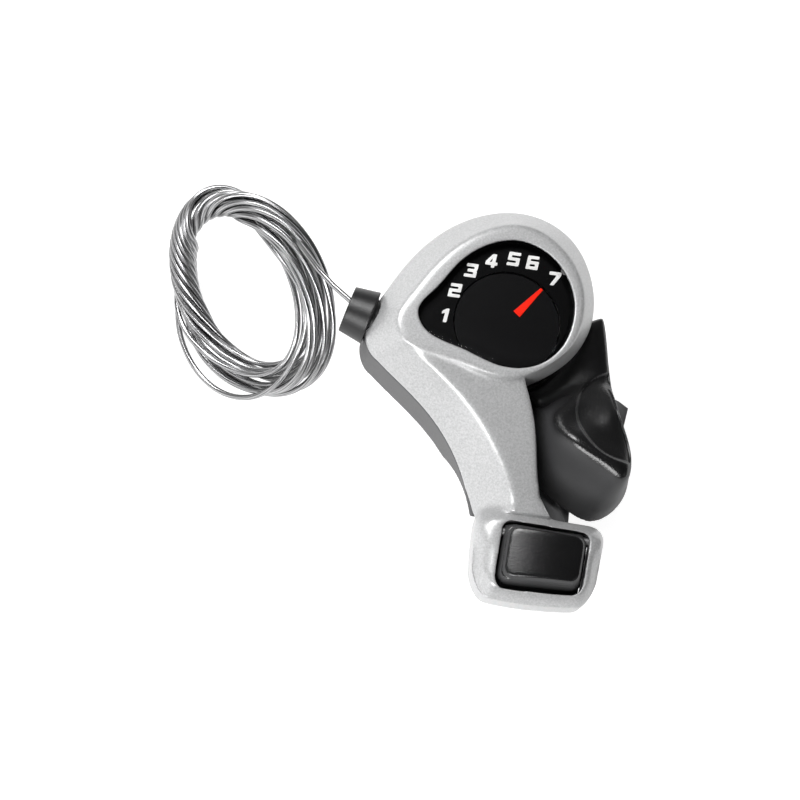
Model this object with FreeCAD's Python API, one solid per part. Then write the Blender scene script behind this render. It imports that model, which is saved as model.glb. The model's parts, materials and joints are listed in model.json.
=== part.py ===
import FreeCAD, Part
import math
import os

os.makedirs("parts", exist_ok=True)
V = FreeCAD.Vector
UP = V(0, 0, 1)
ALONG_BAR = V(1, 0, 0)

# A right-hand thumb shifter. Millimetres. The origin is the middle of the handlebar clamp,
# X runs along the bar, Y points forward and Z is the normal of the dial.

# Handlebar clamp
BAR_RADIUS = 11.1
CLAMP_WALL = 3.5
CLAMP_WIDTH = 14.0
CLAMP_SLIT = 2.5
EAR_REACH = 9.5
EAR_THICKNESS = 4.2
BOLT_RADIUS = 2.5
BOLT_HEAD_RADIUS = 4.25
BOLT_HEAD_HEIGHT = 5.0
NUT_RADIUS = 4.6
NUT_HEIGHT = 4.0

# Pivot of the dial, spool and lever, seen from the clamp
PIVOT_X = -11.5
PIVOT_Y = 36.0

# Indexing and cable
STEPS = 6
STEP_ANGLE = 22.5
CABLE_PULL = 2.94
CABLE_RADIUS = 0.6
PITCH_RADIUS = CABLE_PULL / math.radians(STEP_ANGLE)

# Clearances
RUNNING_FIT = 0.05
AXIAL_PLAY = 0.1
FREE_GAP = 0.4
SEAM = 0.15
WALL = 2.2
THIN_WALL = 1.4

# Heights of the case: its floor above the bar, and what stands above the cable's height
BASE_BOTTOM = 9.0
FLOOR = 2.5
PART_RISE = 0.7
EDGE_HEIGHT = 1.5
BEZEL_RISE = 7.5
FOOT_RISE = 2.7
FOOT_ROOF = 2.4
FOOT_LIP = 0.8
LENS_DEPTH = 2.35
SUNK = 0.45

# Heights of the works, from the floor up
SPRING_SPACE = 2.5
PLATE_THICKNESS = 1.6
WASHER_THICKNESS = 0.4
RATCHET_THICKNESS = 1.8
FLANGE_THICKNESS = 1.2
GROOVE_WIDTH = 2.2
CLIP_THICKNESS = 0.6
DISC_THICKNESS = 0.8
POINTER_THICKNESS = 0.25
DIAL_THICKNESS = 1.0
LENS_FLANGE = 0.8

FLOOR_TOP = BASE_BOTTOM + FLOOR
PLATE_Z = FLOOR_TOP + SPRING_SPACE
ARM_Z = PLATE_Z + PLATE_THICKNESS
WASHER_Z = ARM_Z + AXIAL_PLAY
RATCHET_Z = WASHER_Z + WASHER_THICKNESS + AXIAL_PLAY
SPOOL_Z = RATCHET_Z + RATCHET_THICKNESS
CABLE_Z = SPOOL_Z + FLANGE_THICKNESS + GROOVE_WIDTH / 2
SPOOL_TOP = SPOOL_Z + 2 * FLANGE_THICKNESS + GROOVE_WIDTH
CLIP_Z = SPOOL_TOP + AXIAL_PLAY
PART_LINE = CABLE_Z + PART_RISE
SHOULDER = PART_LINE + EDGE_HEIGHT
BEZEL_TOP = SHOULDER + BEZEL_RISE
FOOT_TOP = SHOULDER + FOOT_RISE
FOOT_BOTTOM = RATCHET_Z - FOOT_LIP
ARM_TOP = PART_LINE - FREE_GAP - SEAM
LENS_Z = BEZEL_TOP - LENS_DEPTH
DIAL_Z = LENS_Z - DIAL_THICKNESS
DISC_TOP = LENS_Z - SUNK
DISC_Z = DISC_TOP - DISC_THICKNESS

# Radii of the works
AXLE_RADIUS = 2.5
BOSS_RADIUS = 4.2
HUB_RADIUS = 8.5
TIP_RADIUS = 10.5
TOOTH_DEPTH = 1.5
TOOTH_START = 15.5
CORE_RADIUS = PITCH_RADIUS - CABLE_RADIUS - 0.1
FLANGE_RADIUS = 9.9
DISC_RADIUS = 10.6
COLLAR_RADIUS = 6.2
PIN_RADIUS = 1.3
NIPPLE_RADIUS = 2.0
NIPPLE_LENGTH = 4.0
POST_RADIUS = 2.7

# Cable outlet: its axis is tangent to the spool's pitch circle
OUTLET_TURN = 165.0
OUTLET_END = 31.0
OUTLET_COLLAR = 25.8
OUTLET_START = 20.5
MOUTH_RADIUS = 4.75
FLARE_RADIUS = 5.6
SHANK_RADIUS = 4.0
SOCKET_RADIUS = 2.7
SOCKET_DEPTH = 6.5
THROAT_RADIUS = 0.9

# Case outlines about the pivot, anticlockwise from the right of the head
HEAD_OUTLINE = [
    (18.4, 6.5), (17.0, 14.4), (11.9, 22.0), (2.8, 25.6), (-6.7, 24.0),
    (-15.0, 18.7), (-21.3, 11.0), (-25.7, 2.8), (-27.8, -3.6), (-26.0, -8.4),
    (-19.5, -11.2), (-9.5, -12.6), (0.5, -12.9), (8.4, -9.4), (15.3, -3.0),
]
BEZEL_OUTLINE = [
    (14.9, 5.5), (13.2, 11.7), (8.8, 17.0), (1.8, 20.2), (-5.6, 18.5),
    (-12.0, 13.8), (-16.8, 7.8), (-20.2, 2.2), (-22.3, -2.8), (-20.6, -6.8),
    (-16.0, -8.6), (-8.0, -10.2), (0.8, -11.8), (7.6, -9.0), (13.0, -3.4),
]
WINDOW_OUTLINE = [
    (13.1, 3.4), (11.6, 9.6), (6.9, 15.0), (0.4, 17.0), (-5.6, 15.3),
    (-11.2, 10.6), (-15.4, 4.4), (-18.3, -0.6), (-17.2, -3.4), (-8.9, -7.1),
    (-0.9, -9.6), (6.5, -8.5), (11.4, -3.7),
]
# Neck, from the head to the foot: y, left edge, ridge, right edge, and about the cover's part
# line the ridge's rise and the edge's drop
NECK = [
    (-8.5, -25.7, -18.3, 3.6, 8.4, 0.0),
    (-13.5, -19.7, -11.4, 5.6, 7.7, 0.0),
    (-19.0, -13.1, -4.9, 7.6, 6.5, 0.6),
    (-25.0, -7.8, 0.0, 8.8, 5.4, 2.2),
    (-31.0, -4.3, 3.4, 9.8, 4.6, 4.0),
    (-37.5, -2.0, 5.2, 13.0, 4.2, 5.6),
]
FOOT_CORNERS = [(-1.9, -37.0), (-1.4, -54.6), (23.2, -54.2), (24.8, -38.0)]
FOOT_CORNER_RADIUS = 3.0
FOOT_BEVEL = 2.2
BUTTON_CORNERS = [(3.6, -39.4), (2.7, -52.6), (20.3, -52.2), (21.2, -40.2)]
BUTTON_CORNER_RADIUS = 1.8

# Release button
BUTTON_GAP = 0.55
BUTTON_RISE = 2.9
BUTTON_SKIRT = 3.8
BUTTON_DRAFT = 1.3
BUTTON_PIN_Y = -41.6
BUTTON_PIN_DEPTH = 1.6
BUTTON_PIN_RADIUS = 0.9
BUTTON_BOTTOM = FOOT_TOP - BUTTON_SKIRT
BUTTON_PIN_Z = FOOT_TOP - BUTTON_PIN_DEPTH
SLIDER_X = 0.7
SLIDER_WIDTH = 2.9
SLIDER_THICKNESS = 1.4
CRANK_HALF = 0.9
TAIL_HALF = 1.2
PUSH_GAP = 0.4

# Lever outlines about the pivot: foot of the paddle, its top, and the arm
PADDLE_FOOT = [
    (12.8, -9.6), (11.0, -12.6), (10.6, -17.2), (10.0, -21.6), (9.9, -26.2), (11.2, -29.8),
    (16.6, -33.8), (22.4, -35.8), (27.0, -33.0), (29.4, -28.2), (29.2, -23.2), (27.6, -18.6),
    (25.6, -13.2), (24.0, -7.4), (18.4, -6.0),
]
PADDLE_TOP = [
    (14.4, -11.6), (12.8, -14.0), (12.9, -17.4), (14.2, -20.8), (17.2, -23.4), (20.4, -25.0),
    (23.2, -26.8), (25.6, -28.8), (27.4, -28.8), (28.4, -26.6), (28.2, -23.0), (26.8, -18.8),
    (24.8, -13.9), (23.0, -9.8), (19.0, -8.6),
]
PADDLE_Z = ARM_Z + AXIAL_PLAY
PADDLE_RISE = 5.75
PADDLE_TOP_Z = ARM_TOP + PADDLE_RISE
ARM_INNER = TIP_RADIUS + 1.9
ARM_EDGE = [(21.0, 7.0), (22.0, 3.0), (22.8, -1.8), (23.6, -6.0), (25.4, -13.2)]
STROKE = 2 * STEP_ANGLE


def at(x, y, z):
    return V(PIVOT_X + x, PIVOT_Y + y, z)


def polar(radius, angle):
    return (radius * math.cos(math.radians(angle)), radius * math.sin(math.radians(angle)))


def disc(radius, z, height, x=0.0, y=0.0):
    return Part.makeCylinder(radius, height, at(x, y, z), UP)


def ring(outer, inner, z, height, x=0.0, y=0.0):
    return disc(outer, z, height, x, y).cut(disc(inner, z, height, x, y))


def closed_spline(points, z):
    curve = Part.BSplineCurve()
    curve.interpolate(Points=[at(x, y, z) for x, y in points], PeriodicFlag=True)
    return Part.Wire([curve.toShape()])


def polygon(points, z):
    corners = [at(x, y, z) for x, y in points]
    return Part.makePolygon(corners + corners[:1])


def prism(wire, height):
    return Part.Face(wire).extrude(V(0, 0, height))


def inset(points, distance):
    """The same outline moved inwards along its own normals."""
    moved = []
    for i, (x, y) in enumerate(points):
        before = points[i - 1]
        after = points[(i + 1) % len(points)]
        tx = after[0] - before[0]
        ty = after[1] - before[1]
        size = math.hypot(tx, ty)
        moved.append((x - distance * ty / size, y + distance * tx / size))
    return moved


def shrunk(corners, distance):
    """A convex outline of straight sides, anticlockwise, with each side moved inwards."""
    lines = []
    for i, (x, y) in enumerate(corners):
        nx, ny = corners[(i + 1) % len(corners)]
        size = math.hypot(nx - x, ny - y)
        a = -(ny - y) / size
        b = (nx - x) / size
        lines.append((a, b, a * x + b * y + distance))
    moved = []
    for i, (a, b, c) in enumerate(lines):
        d, e, f = lines[i - 1]
        det = d * b - a * e
        moved.append(((f * b - c * e) / det, (d * c - a * f) / det))
    return moved


def rounded(corners, radius, z):
    """Straight sides joined by tangent arcs."""
    edges = []
    ends = []
    for i, (x, y) in enumerate(corners):
        here = at(x, y, z)
        back = at(*corners[i - 1], z) - here
        ahead = at(*corners[(i + 1) % len(corners)], z) - here
        back.normalize()
        ahead.normalize()
        half = back.getAngle(ahead) / 2
        reach = radius / math.tan(half)
        middle = back + ahead
        middle.normalize()
        nearest = here + middle * (radius / math.sin(half) - radius)
        ends.append((here + back * reach, nearest, here + ahead * reach))
    for i, (start, nearest, end) in enumerate(ends):
        edges.append(Part.Arc(start, nearest, end).toShape())
        edges.append(Part.LineSegment(end, ends[(i + 1) % len(ends)][0]).toShape())
    return Part.Wire(edges)


def sector(inner, outer, start, end, z, height):
    """Part of a flat ring about the pivot between two angles."""
    middle = (start + end) / 2
    a, b, c = [at(*polar(outer, t), z) for t in (start, middle, end)]
    d, e, f = [at(*polar(inner, t), z) for t in (end, middle, start)]
    edges = [
        Part.Arc(a, b, c).toShape(),
        Part.LineSegment(c, d).toShape(),
        Part.Arc(d, e, f).toShape(),
        Part.LineSegment(f, a).toShape(),
    ]
    return prism(Part.Wire(edges), height)


def tube(points, radius):
    """A round tube along straight runs joined by tangent arcs."""
    edges = []
    start = points[0]
    for i in range(1, len(points) - 1):
        back = points[i - 1] - points[i]
        ahead = points[i + 1] - points[i]
        shorter = min(back.Length, ahead.Length)
        back.normalize()
        ahead.normalize()
        reach = 0.45 * shorter
        half = back.getAngle(ahead) / 2
        bend = reach * math.tan(half)
        middle = back + ahead
        middle.normalize()
        nearest = points[i] + middle * (bend / math.sin(half) - bend)
        edges.append(Part.LineSegment(start, points[i] + back * reach).toShape())
        edges.append(Part.Arc(points[i] + back * reach, nearest, points[i] + ahead * reach).toShape())
        start = points[i] + ahead * reach
    edges.append(Part.LineSegment(start, points[-1]).toShape())
    path = Part.Wire(edges)
    heading = points[1] - points[0]
    section = Part.Wire([Part.Circle(points[0], heading, radius).toShape()])
    return path.makePipeShell([section], True, False)


def coil_spring(radius, wire, turns, z, x=0.0, y=0.0, pitch=None):
    """A wire spring, lofted through round sections that climb about its axis."""
    pitch = pitch or wire * 1.08
    steps = round(12 * turns)
    sections = []
    for i in range(steps + 1):
        turned = turns * i / steps
        section = Part.Wire([Part.Circle(V(radius, 0, 0), V(0, 1, 0), wire / 2).toShape()])
        section.rotate(V(0, 0, 0), UP, 360.0 * turned)
        section.translate(at(x, y, z + pitch * turned))
        sections.append(section)
    return Part.makeLoft(sections, True, True)


OUT = V(*polar(1.0, OUTLET_TURN), 0)
SIDE = V(*polar(1.0, OUTLET_TURN - 90.0), 0)
TANGENT_ANGLE = OUTLET_TURN + 90.0
TANGENT = at(*polar(PITCH_RADIUS, TANGENT_ANGLE), CABLE_Z)
MOUTH = TANGENT + OUT * OUTLET_END
NIPPLE_ANGLE = TANGENT_ANGLE + 40.0
CLAMP_RADIUS = BAR_RADIUS + CLAMP_WALL
HOLD_PIN = polar(TIP_RADIUS + 4.16, 264.9)
DRIVE_PIN_RADIUS = TIP_RADIUS + 3.2
DRIVE_PIN_ANGLE = 32.0
SCREWS = [(-17.6, 7.4), (2.6, 20.6), (-8.6, -16.6)]
POINTER_ANGLE = 45.0


def outlet_cylinder(radius, start, end):
    return Part.makeCylinder(radius, end - start, TANGENT + OUT * start, OUT)


def neck_loft(shape_of):
    """A loft along the neck through one straight-sided section per station."""
    sections = []
    for y, left, ridge, right, rise, drop in NECK:
        section = shape_of(left, ridge, right, PART_LINE + rise, PART_LINE - drop)
        corners = [at(x, y, z) for x, z in section]
        sections.append(Part.makePolygon(corners + corners[:1]))
    return Part.makeLoft(sections, True, False)


def neck_outside(left, ridge, right, top, part):
    lip = part + EDGE_HEIGHT
    return [(left, part), (left, lip), (ridge, top), (right, top - 0.6), (right + 0.6, part)]


def neck_inside(left, ridge, right, top, part):
    roof = top - WALL
    low = part - 2.0
    return [
        (left + WALL + 0.6, low), (left + WALL + 0.6, part + 0.3), (ridge, roof),
        (right - WALL, roof - 0.6), (right - WALL, low),
    ]


def neck_below(left, ridge, right, top, part):
    return [
        (left, BASE_BOTTOM), (left, part - SEAM), (right, part - SEAM), (right, BASE_BOTTOM),
    ]


def head_cavity():
    low = inset(HEAD_OUTLINE, WALL)
    high = inset(BEZEL_OUTLINE, 1.0)
    sides = [
        closed_spline(low, PART_LINE - 1.0),
        closed_spline(low, SHOULDER - 0.5),
        closed_spline(high, LENS_Z),
    ]
    room = Part.makeLoft(sides, True, True)
    return room.fuse(disc(DISC_RADIUS + 0.6, PART_LINE - 1.0, LENS_Z - PART_LINE + 1.0))


def foot_outside():
    low = rounded(FOOT_CORNERS, FOOT_CORNER_RADIUS, FOOT_BOTTOM)
    waist = rounded(FOOT_CORNERS, FOOT_CORNER_RADIUS, SHOULDER)
    smaller = shrunk(FOOT_CORNERS, FOOT_BEVEL)
    top = rounded(smaller, FOOT_CORNER_RADIUS - 1.0, FOOT_TOP)
    return Part.makeLoft([low, waist, top], True, True)


def foot_inside():
    height = FOOT_TOP - FOOT_ROOF - FOOT_BOTTOM + 1.0
    room = prism(rounded(shrunk(FOOT_CORNERS, WALL), 1.2, FOOT_BOTTOM - 1.0), height)
    well = prism(rounded(BUTTON_CORNERS, BUTTON_CORNER_RADIUS, SHOULDER), BEZEL_TOP - SHOULDER)
    return room.fuse(well)


def slider_room():
    """Free space round the slider, over its whole push."""
    wide = SLIDER_WIDTH + 2.8 + 2 * FREE_GAP
    deep = HOLD_PIN[1] - BUTTON_PIN_Y
    corner = at(SLIDER_X - FREE_GAP, BUTTON_PIN_Y, FOOT_BOTTOM - 0.5)
    return Part.makeBox(wide, deep, SLIDER_THICKNESS + 1.8, corner)


def make_upper_cover():
    head = Part.makeLoft(
        [
            closed_spline(HEAD_OUTLINE, PART_LINE),
            closed_spline(HEAD_OUTLINE, SHOULDER),
            closed_spline(BEZEL_OUTLINE, BEZEL_TOP),
        ],
        True,
        True,
    )
    cover = head.fuse(neck_loft(neck_outside)).fuse(foot_outside())
    cover = cover.cut(head_cavity()).cut(neck_loft(neck_inside)).cut(foot_inside())
    cover = cover.cut(slider_room())
    for x, y in SCREWS:
        cover = cover.fuse(disc(POST_RADIUS, PART_LINE - 3.0, 4.6, x, y))
    pocket_z = DIAL_Z - 0.1
    pocket = prism(closed_spline(inset(WINDOW_OUTLINE, -0.7), pocket_z), LENS_Z + LENS_FLANGE - pocket_z)
    opening = prism(closed_spline(WINDOW_OUTLINE, LENS_Z), BEZEL_TOP - LENS_Z + 1.0)
    cover = cover.cut(pocket).cut(opening)
    cover = cover.cut(outlet_cylinder(SHANK_RADIUS, OUTLET_START - 1.0, OUTLET_COLLAR))
    cover = cover.cut(outlet_cylinder(FLARE_RADIUS + SEAM, OUTLET_COLLAR, OUTLET_END))
    for x, y in SCREWS:
        cover = cover.cut(disc(1.25, PART_LINE - 4.0, 5.0, x, y))
    cover = cover.cut(button_axle(BUTTON_PIN_RADIUS, 1.2))
    slit = prism(polygon([(10.2, -34.4), (10.9, -34.4), (10.9, -31.8), (10.2, -31.8)], FOOT_TOP - 1.6), 3.0)
    return cover.cut(slit)


def clamp_ring():
    start = V(-CLAMP_WIDTH / 2, 0, 0)
    return Part.makeCylinder(CLAMP_RADIUS, CLAMP_WIDTH, start, ALONG_BAR)


def clamp_ears():
    depth = CLAMP_RADIUS + EAR_REACH
    low = -CLAMP_SLIT / 2 - EAR_THICKNESS
    corner = V(-CLAMP_WIDTH / 2, 0, low)
    return Part.makeBox(CLAMP_WIDTH, depth, BASE_BOTTOM + FLOOR - low, corner)


BOLT_Y = CLAMP_RADIUS + EAR_REACH / 2
NUT_Z = CLAMP_SLIT / 2 + 2.0


def nut_blank():
    corners = [V(*polar(NUT_RADIUS, 60.0 * i), NUT_Z) + V(0, BOLT_Y, 0) for i in range(7)]
    return Part.Face(Part.makePolygon(corners)).extrude(V(0, 0, NUT_HEIGHT))


def base_shell():
    head = prism(closed_spline(HEAD_OUTLINE, BASE_BOTTOM), PART_LINE - SEAM - BASE_BOTTOM)
    shell = head.fuse(neck_loft(neck_below))
    tongue = prism(rounded(shrunk(FOOT_CORNERS, WALL + SEAM), 1.0, FOOT_BOTTOM - 2.6), 3.4)
    shell = shell.fuse(tongue)
    saddle = Part.makeCylinder(CLAMP_RADIUS, 120.0, V(-60, 0, 0), ALONG_BAR)
    return shell.cut(saddle)


def base_room():
    head = prism(closed_spline(inset(HEAD_OUTLINE, WALL), FLOOR_TOP), PART_LINE)
    works = disc(TIP_RADIUS + 0.7, FLOOR_TOP, PART_LINE)
    return head.fuse(works).fuse(neck_loft(neck_channel))


def neck_channel(left, ridge, right, top, part):
    low = FOOT_BOTTOM + 0.8
    return [
        (left + WALL, low), (left + WALL, PART_LINE + 2.0),
        (right - THIN_WALL, PART_LINE + 2.0), (right - THIN_WALL, low),
    ]


def make_base_bracket():
    base = base_shell().cut(base_room())
    base = base.fuse(clamp_ring()).fuse(clamp_ears())
    bore = Part.makeCylinder(BAR_RADIUS, 120.0, V(-60, 0, 0), ALONG_BAR)
    slit = Part.makeBox(CLAMP_WIDTH + 2, 40.0, CLAMP_SLIT, V(-CLAMP_WIDTH / 2 - 1, 0, -CLAMP_SLIT / 2))
    base = base.cut(bore).cut(slit)
    base = base.fuse(disc(BOSS_RADIUS, FLOOR_TOP, SPRING_SPACE - AXIAL_PLAY))
    for x, y in SCREWS:
        base = base.fuse(disc(POST_RADIUS, BASE_BOTTOM, PART_LINE - 3.0 - SEAM - BASE_BOTTOM, x, y))
    base = base.fuse(disc(2.4, FLOOR_TOP, RATCHET_Z - AXIAL_PLAY - FLOOR_TOP, *HOLD_PIN))
    base = base.cut(sector(BOSS_RADIUS + 2.0, 42.0, -64.0, 72.0, PLATE_Z - FREE_GAP, PART_LINE))
    base = base.cut(disc(AXLE_RADIUS, BASE_BOTTOM + 0.8, PART_LINE))
    base = base.cut(disc(PIN_RADIUS, FLOOR_TOP, PART_LINE, *HOLD_PIN))
    for x, y in SCREWS:
        base = base.cut(disc(1.35, BASE_BOTTOM - 1, PART_LINE, x, y))
        base = base.cut(disc(2.3, BASE_BOTTOM - 1, 2.5, x, y))
    base = base.cut(outlet_cylinder(SHANK_RADIUS, OUTLET_START - 1.0, OUTLET_COLLAR))
    base = base.cut(outlet_cylinder(FLARE_RADIUS + SEAM, OUTLET_COLLAR, OUTLET_END))
    shank = Part.makeCylinder(BOLT_RADIUS, 40.0, V(0, BOLT_Y, -20), UP)
    return base.cut(shank.common(clamp_ears())).cut(nut_blank())


def make_clamp_bolt():
    low = -CLAMP_SLIT / 2 - EAR_THICKNESS
    shank = Part.makeCylinder(BOLT_RADIUS, NUT_Z + NUT_HEIGHT - low, V(0, BOLT_Y, low), UP)
    head_z = low - BOLT_HEAD_HEIGHT
    head = Part.makeCylinder(BOLT_HEAD_RADIUS, BOLT_HEAD_HEIGHT, V(0, BOLT_Y, head_z), UP)
    corners = [V(*polar(2.3, 60.0 * i), head_z) + V(0, BOLT_Y, 0) for i in range(7)]
    key = Part.Face(Part.makePolygon(corners)).extrude(V(0, 0, 2.6))
    return shank.fuse(head).cut(key)


def make_clamp_nut():
    return nut_blank().cut(Part.makeCylinder(BOLT_RADIUS, 40.0, V(0, BOLT_Y, -20), UP))


def make_case_screws():
    screws = []
    for x, y in SCREWS:
        head = disc(2.2, BASE_BOTTOM + 0.1, 1.4, x, y)
        shank = disc(1.25, BASE_BOTTOM + 1.5, PART_LINE + 0.8 - BASE_BOTTOM - 1.5, x, y)
        slot = Part.makeBox(3.2, 0.7, 0.6, at(x - 1.6, y - 0.35, BASE_BOTTOM + 0.1))
        screws.append(head.fuse(shank).cut(slot))
    return Part.makeCompound(screws)


def make_indicator_lens():
    flange = prism(closed_spline(inset(WINDOW_OUTLINE, -0.6), LENS_Z), LENS_FLANGE)
    crown = Part.makeLoft(
        [
            closed_spline(inset(WINDOW_OUTLINE, 0.1), LENS_Z + 0.2),
            closed_spline(inset(WINDOW_OUTLINE, 0.1), BEZEL_TOP - 0.3),
            closed_spline(inset(WINDOW_OUTLINE, 0.8), BEZEL_TOP + 0.1),
        ],
        True,
        True,
    )
    recess = prism(closed_spline(inset(WINDOW_OUTLINE, 0.7), LENS_Z), 0.4)
    return flange.fuse(crown).cut(recess)


def make_dial_plate():
    plate = prism(closed_spline(inset(WINDOW_OUTLINE, -0.6), DIAL_Z), DIAL_THICKNESS)
    return plate.cut(disc(DISC_RADIUS + 0.3, DIAL_Z, DIAL_THICKNESS))


def make_main_axle():
    axle = disc(AXLE_RADIUS, BASE_BOTTOM + 0.8, CLIP_Z + CLIP_THICKNESS + 0.6 - BASE_BOTTOM - 0.8)
    return axle.cut(ring(AXLE_RADIUS, AXLE_RADIUS - 0.5, CLIP_Z, CLIP_THICKNESS))


def make_axle_clip():
    clip = ring(AXLE_RADIUS + 1.8, AXLE_RADIUS - 0.5, CLIP_Z, CLIP_THICKNESS)
    gate = Part.makeBox(6.0, 2 * AXLE_RADIUS - 1.4, CLIP_THICKNESS, at(0, -AXLE_RADIUS + 0.7, CLIP_Z))
    return clip.cut(gate)


def make_thrust_washer():
    return ring(HUB_RADIUS - 2.0, AXLE_RADIUS + RUNNING_FIT, WASHER_Z, WASHER_THICKNESS)


def make_ratchet_wheel():
    """Teeth with steep faces behind them, and a plain rim where the hold pawl rests."""
    points = []
    root = TIP_RADIUS - TOOTH_DEPTH
    teeth = round(360.0 / STEP_ANGLE)
    for i in range(teeth):
        angle = i * STEP_ANGLE + TOOTH_START
        plain = 200.0 < angle % 360.0 < 258.0
        points.append(polar(TIP_RADIUS, angle))
        points.append(polar(TIP_RADIUS, angle + STEP_ANGLE * 0.3))
        points.append(polar(TIP_RADIUS if plain else root, angle + STEP_ANGLE * 0.82))
        points.append(polar(TIP_RADIUS if plain else root, angle + STEP_ANGLE * 0.97))
    wheel = prism(polygon(points, RATCHET_Z), RATCHET_THICKNESS)
    return wheel.cut(disc(AXLE_RADIUS + RUNNING_FIT, RATCHET_Z, RATCHET_THICKNESS))


def nipple_blank(clearance):
    heading = V(*polar(1.0, NIPPLE_ANGLE + 90.0), 0)
    start = at(*polar(PITCH_RADIUS, NIPPLE_ANGLE), CABLE_Z)
    return Part.makeCylinder(NIPPLE_RADIUS + clearance, NIPPLE_LENGTH, start, heading)


def make_cable_spool():
    spool = disc(FLANGE_RADIUS, SPOOL_Z, FLANGE_THICKNESS)
    spool = spool.fuse(disc(CORE_RADIUS, SPOOL_Z, SPOOL_TOP - SPOOL_Z))
    spool = spool.fuse(disc(FLANGE_RADIUS, SPOOL_TOP - FLANGE_THICKNESS, FLANGE_THICKNESS))
    spool = spool.cut(disc(AXLE_RADIUS + RUNNING_FIT, SPOOL_Z, SPOOL_TOP - SPOOL_Z))
    return spool.cut(nipple_blank(0.0))


def make_cable_nipple():
    return nipple_blank(0.0)


def make_pointer_disc():
    collar = ring(COLLAR_RADIUS, COLLAR_RADIUS - 1.2, SPOOL_TOP, DISC_Z - SPOOL_TOP)
    return disc(DISC_RADIUS, DISC_Z, DISC_THICKNESS).fuse(collar)


def make_pointer():
    across = 1.35
    tip = 0.55
    corners = [(3.6, -across), (DISC_RADIUS - 0.2, -tip), (DISC_RADIUS - 0.2, tip), (3.6, across)]
    blade = prism(polygon(corners, DISC_TOP), POINTER_THICKNESS)
    blade.rotate(at(0, 0, 0), UP, POINTER_ANGLE)
    return blade


def make_cable_outlet():
    body = outlet_cylinder(SHANK_RADIUS, OUTLET_START, OUTLET_COLLAR)
    flare = Part.makeCone(
        FLARE_RADIUS, MOUTH_RADIUS, OUTLET_END - OUTLET_COLLAR, TANGENT + OUT * OUTLET_COLLAR, OUT
    )
    body = body.fuse(flare)
    body = body.cut(outlet_cylinder(THROAT_RADIUS, OUTLET_START, OUTLET_END))
    return body.cut(outlet_cylinder(SOCKET_RADIUS, OUTLET_END - SOCKET_DEPTH, OUTLET_END))


LEAN = SOCKET_RADIUS - CABLE_RADIUS - 0.3
EXIT = MOUTH + SIDE * LEAN


def make_cable_run():
    wrap = NIPPLE_ANGLE - TANGENT_ANGLE
    wound = Part.makeTorus(PITCH_RADIUS, CABLE_RADIUS, V(0, 0, 0), UP, 0, 360, wrap)
    wound.rotate(V(0, 0, 0), UP, TANGENT_ANGLE)
    wound.translate(at(0, 0, CABLE_Z))
    knee = TANGENT + OUT * (OUTLET_END - SOCKET_DEPTH + 0.8)
    return wound.fuse(tube([TANGENT, knee, EXIT], CABLE_RADIUS))


# The loose cable: a lead from the outlet, then a leaning oval coil
COIL_MIDDLE = at(-51.9, 8.2, 0.0)
COIL_LONG = V(0.5767, -0.7994, -0.1669)
COIL_SHORT = V(0.6608, 0.3366, 0.6705)
COIL_LONG_RADIUS = 19.8
COIL_SHORT_RADIUS = 17.2
BUNDLE_RADIUS = 3.5
COIL_ENTRY = 128.0


def coil_point(angle):
    t = math.radians(angle)
    along = COIL_LONG * (COIL_LONG_RADIUS * math.cos(t))
    across = COIL_SHORT * (COIL_SHORT_RADIUS * math.sin(t))
    return COIL_MIDDLE + along + across


def lead_route():
    heading = EXIT - TANGENT - OUT * (OUTLET_END - SOCKET_DEPTH + 0.8)
    heading.normalize()
    entry = coil_point(COIL_ENTRY)
    before = coil_point(COIL_ENTRY - 20.0) - coil_point(COIL_ENTRY)
    before.normalize()
    return [EXIT, EXIT + heading * 7.0, entry + before * 6.0, entry]


def make_cable_lead():
    return tube(lead_route(), CABLE_RADIUS)


def make_cable_coil():
    loop = Part.makeTorus(COIL_LONG_RADIUS, BUNDLE_RADIUS)
    squeeze = FreeCAD.Matrix()
    squeeze.scale(V(1.0, COIL_SHORT_RADIUS / COIL_LONG_RADIUS, 1.0))
    loop = loop.transformGeometry(squeeze)
    normal = COIL_LONG.cross(COIL_SHORT)
    turn = FreeCAD.Rotation(COIL_LONG, COIL_SHORT, normal, "ZXY")
    loop.Placement = FreeCAD.Placement(COIL_MIDDLE, turn)
    return loop


def make_lever_plate():
    plate = disc(HUB_RADIUS, PLATE_Z, PLATE_THICKNESS)
    tongue = sector(HUB_RADIUS - 2.0, 21.0, -40.0, 4.0, PLATE_Z, PLATE_THICKNESS)
    reach = [(12.5, -11.5), (23.0, -22.0), (27.0, -20.0), (28.4, -10.8), (26.4, -9.6), (16.0, -6.0)]
    tongue = tongue.fuse(prism(polygon(reach, PLATE_Z), PLATE_THICKNESS))
    x, y = polar(DRIVE_PIN_RADIUS, DRIVE_PIN_ANGLE)
    ear = disc(3.5, PLATE_Z, PLATE_THICKNESS, x, y)
    end = DRIVE_PIN_ANGLE + 4.0
    bridge = sector(HUB_RADIUS - 2.0, DRIVE_PIN_RADIUS + 1.5, -10.0, end, PLATE_Z, PLATE_THICKNESS)
    plate = plate.fuse(tongue).fuse(bridge).fuse(ear)
    plate = plate.cut(disc(AXLE_RADIUS + RUNNING_FIT, PLATE_Z, PLATE_THICKNESS))
    plate = plate.cut(disc(PIN_RADIUS, PLATE_Z, PLATE_THICKNESS, x, y))
    for rx, ry in RIVETS:
        plate = plate.cut(disc(1.1, PLATE_Z, PLATE_THICKNESS, rx, ry))
    return plate


RIVETS = [(17.6, -9.0), (20.6, -16.6)]


def make_lever_rivets():
    rivets = []
    for x, y in RIVETS:
        shank = disc(1.1, PLATE_Z, PLATE_THICKNESS + 2.6, x, y)
        rivets.append(shank.fuse(disc(1.9, PLATE_Z - 0.3, 0.3, x, y)))
    return Part.makeCompound(rivets)


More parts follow.
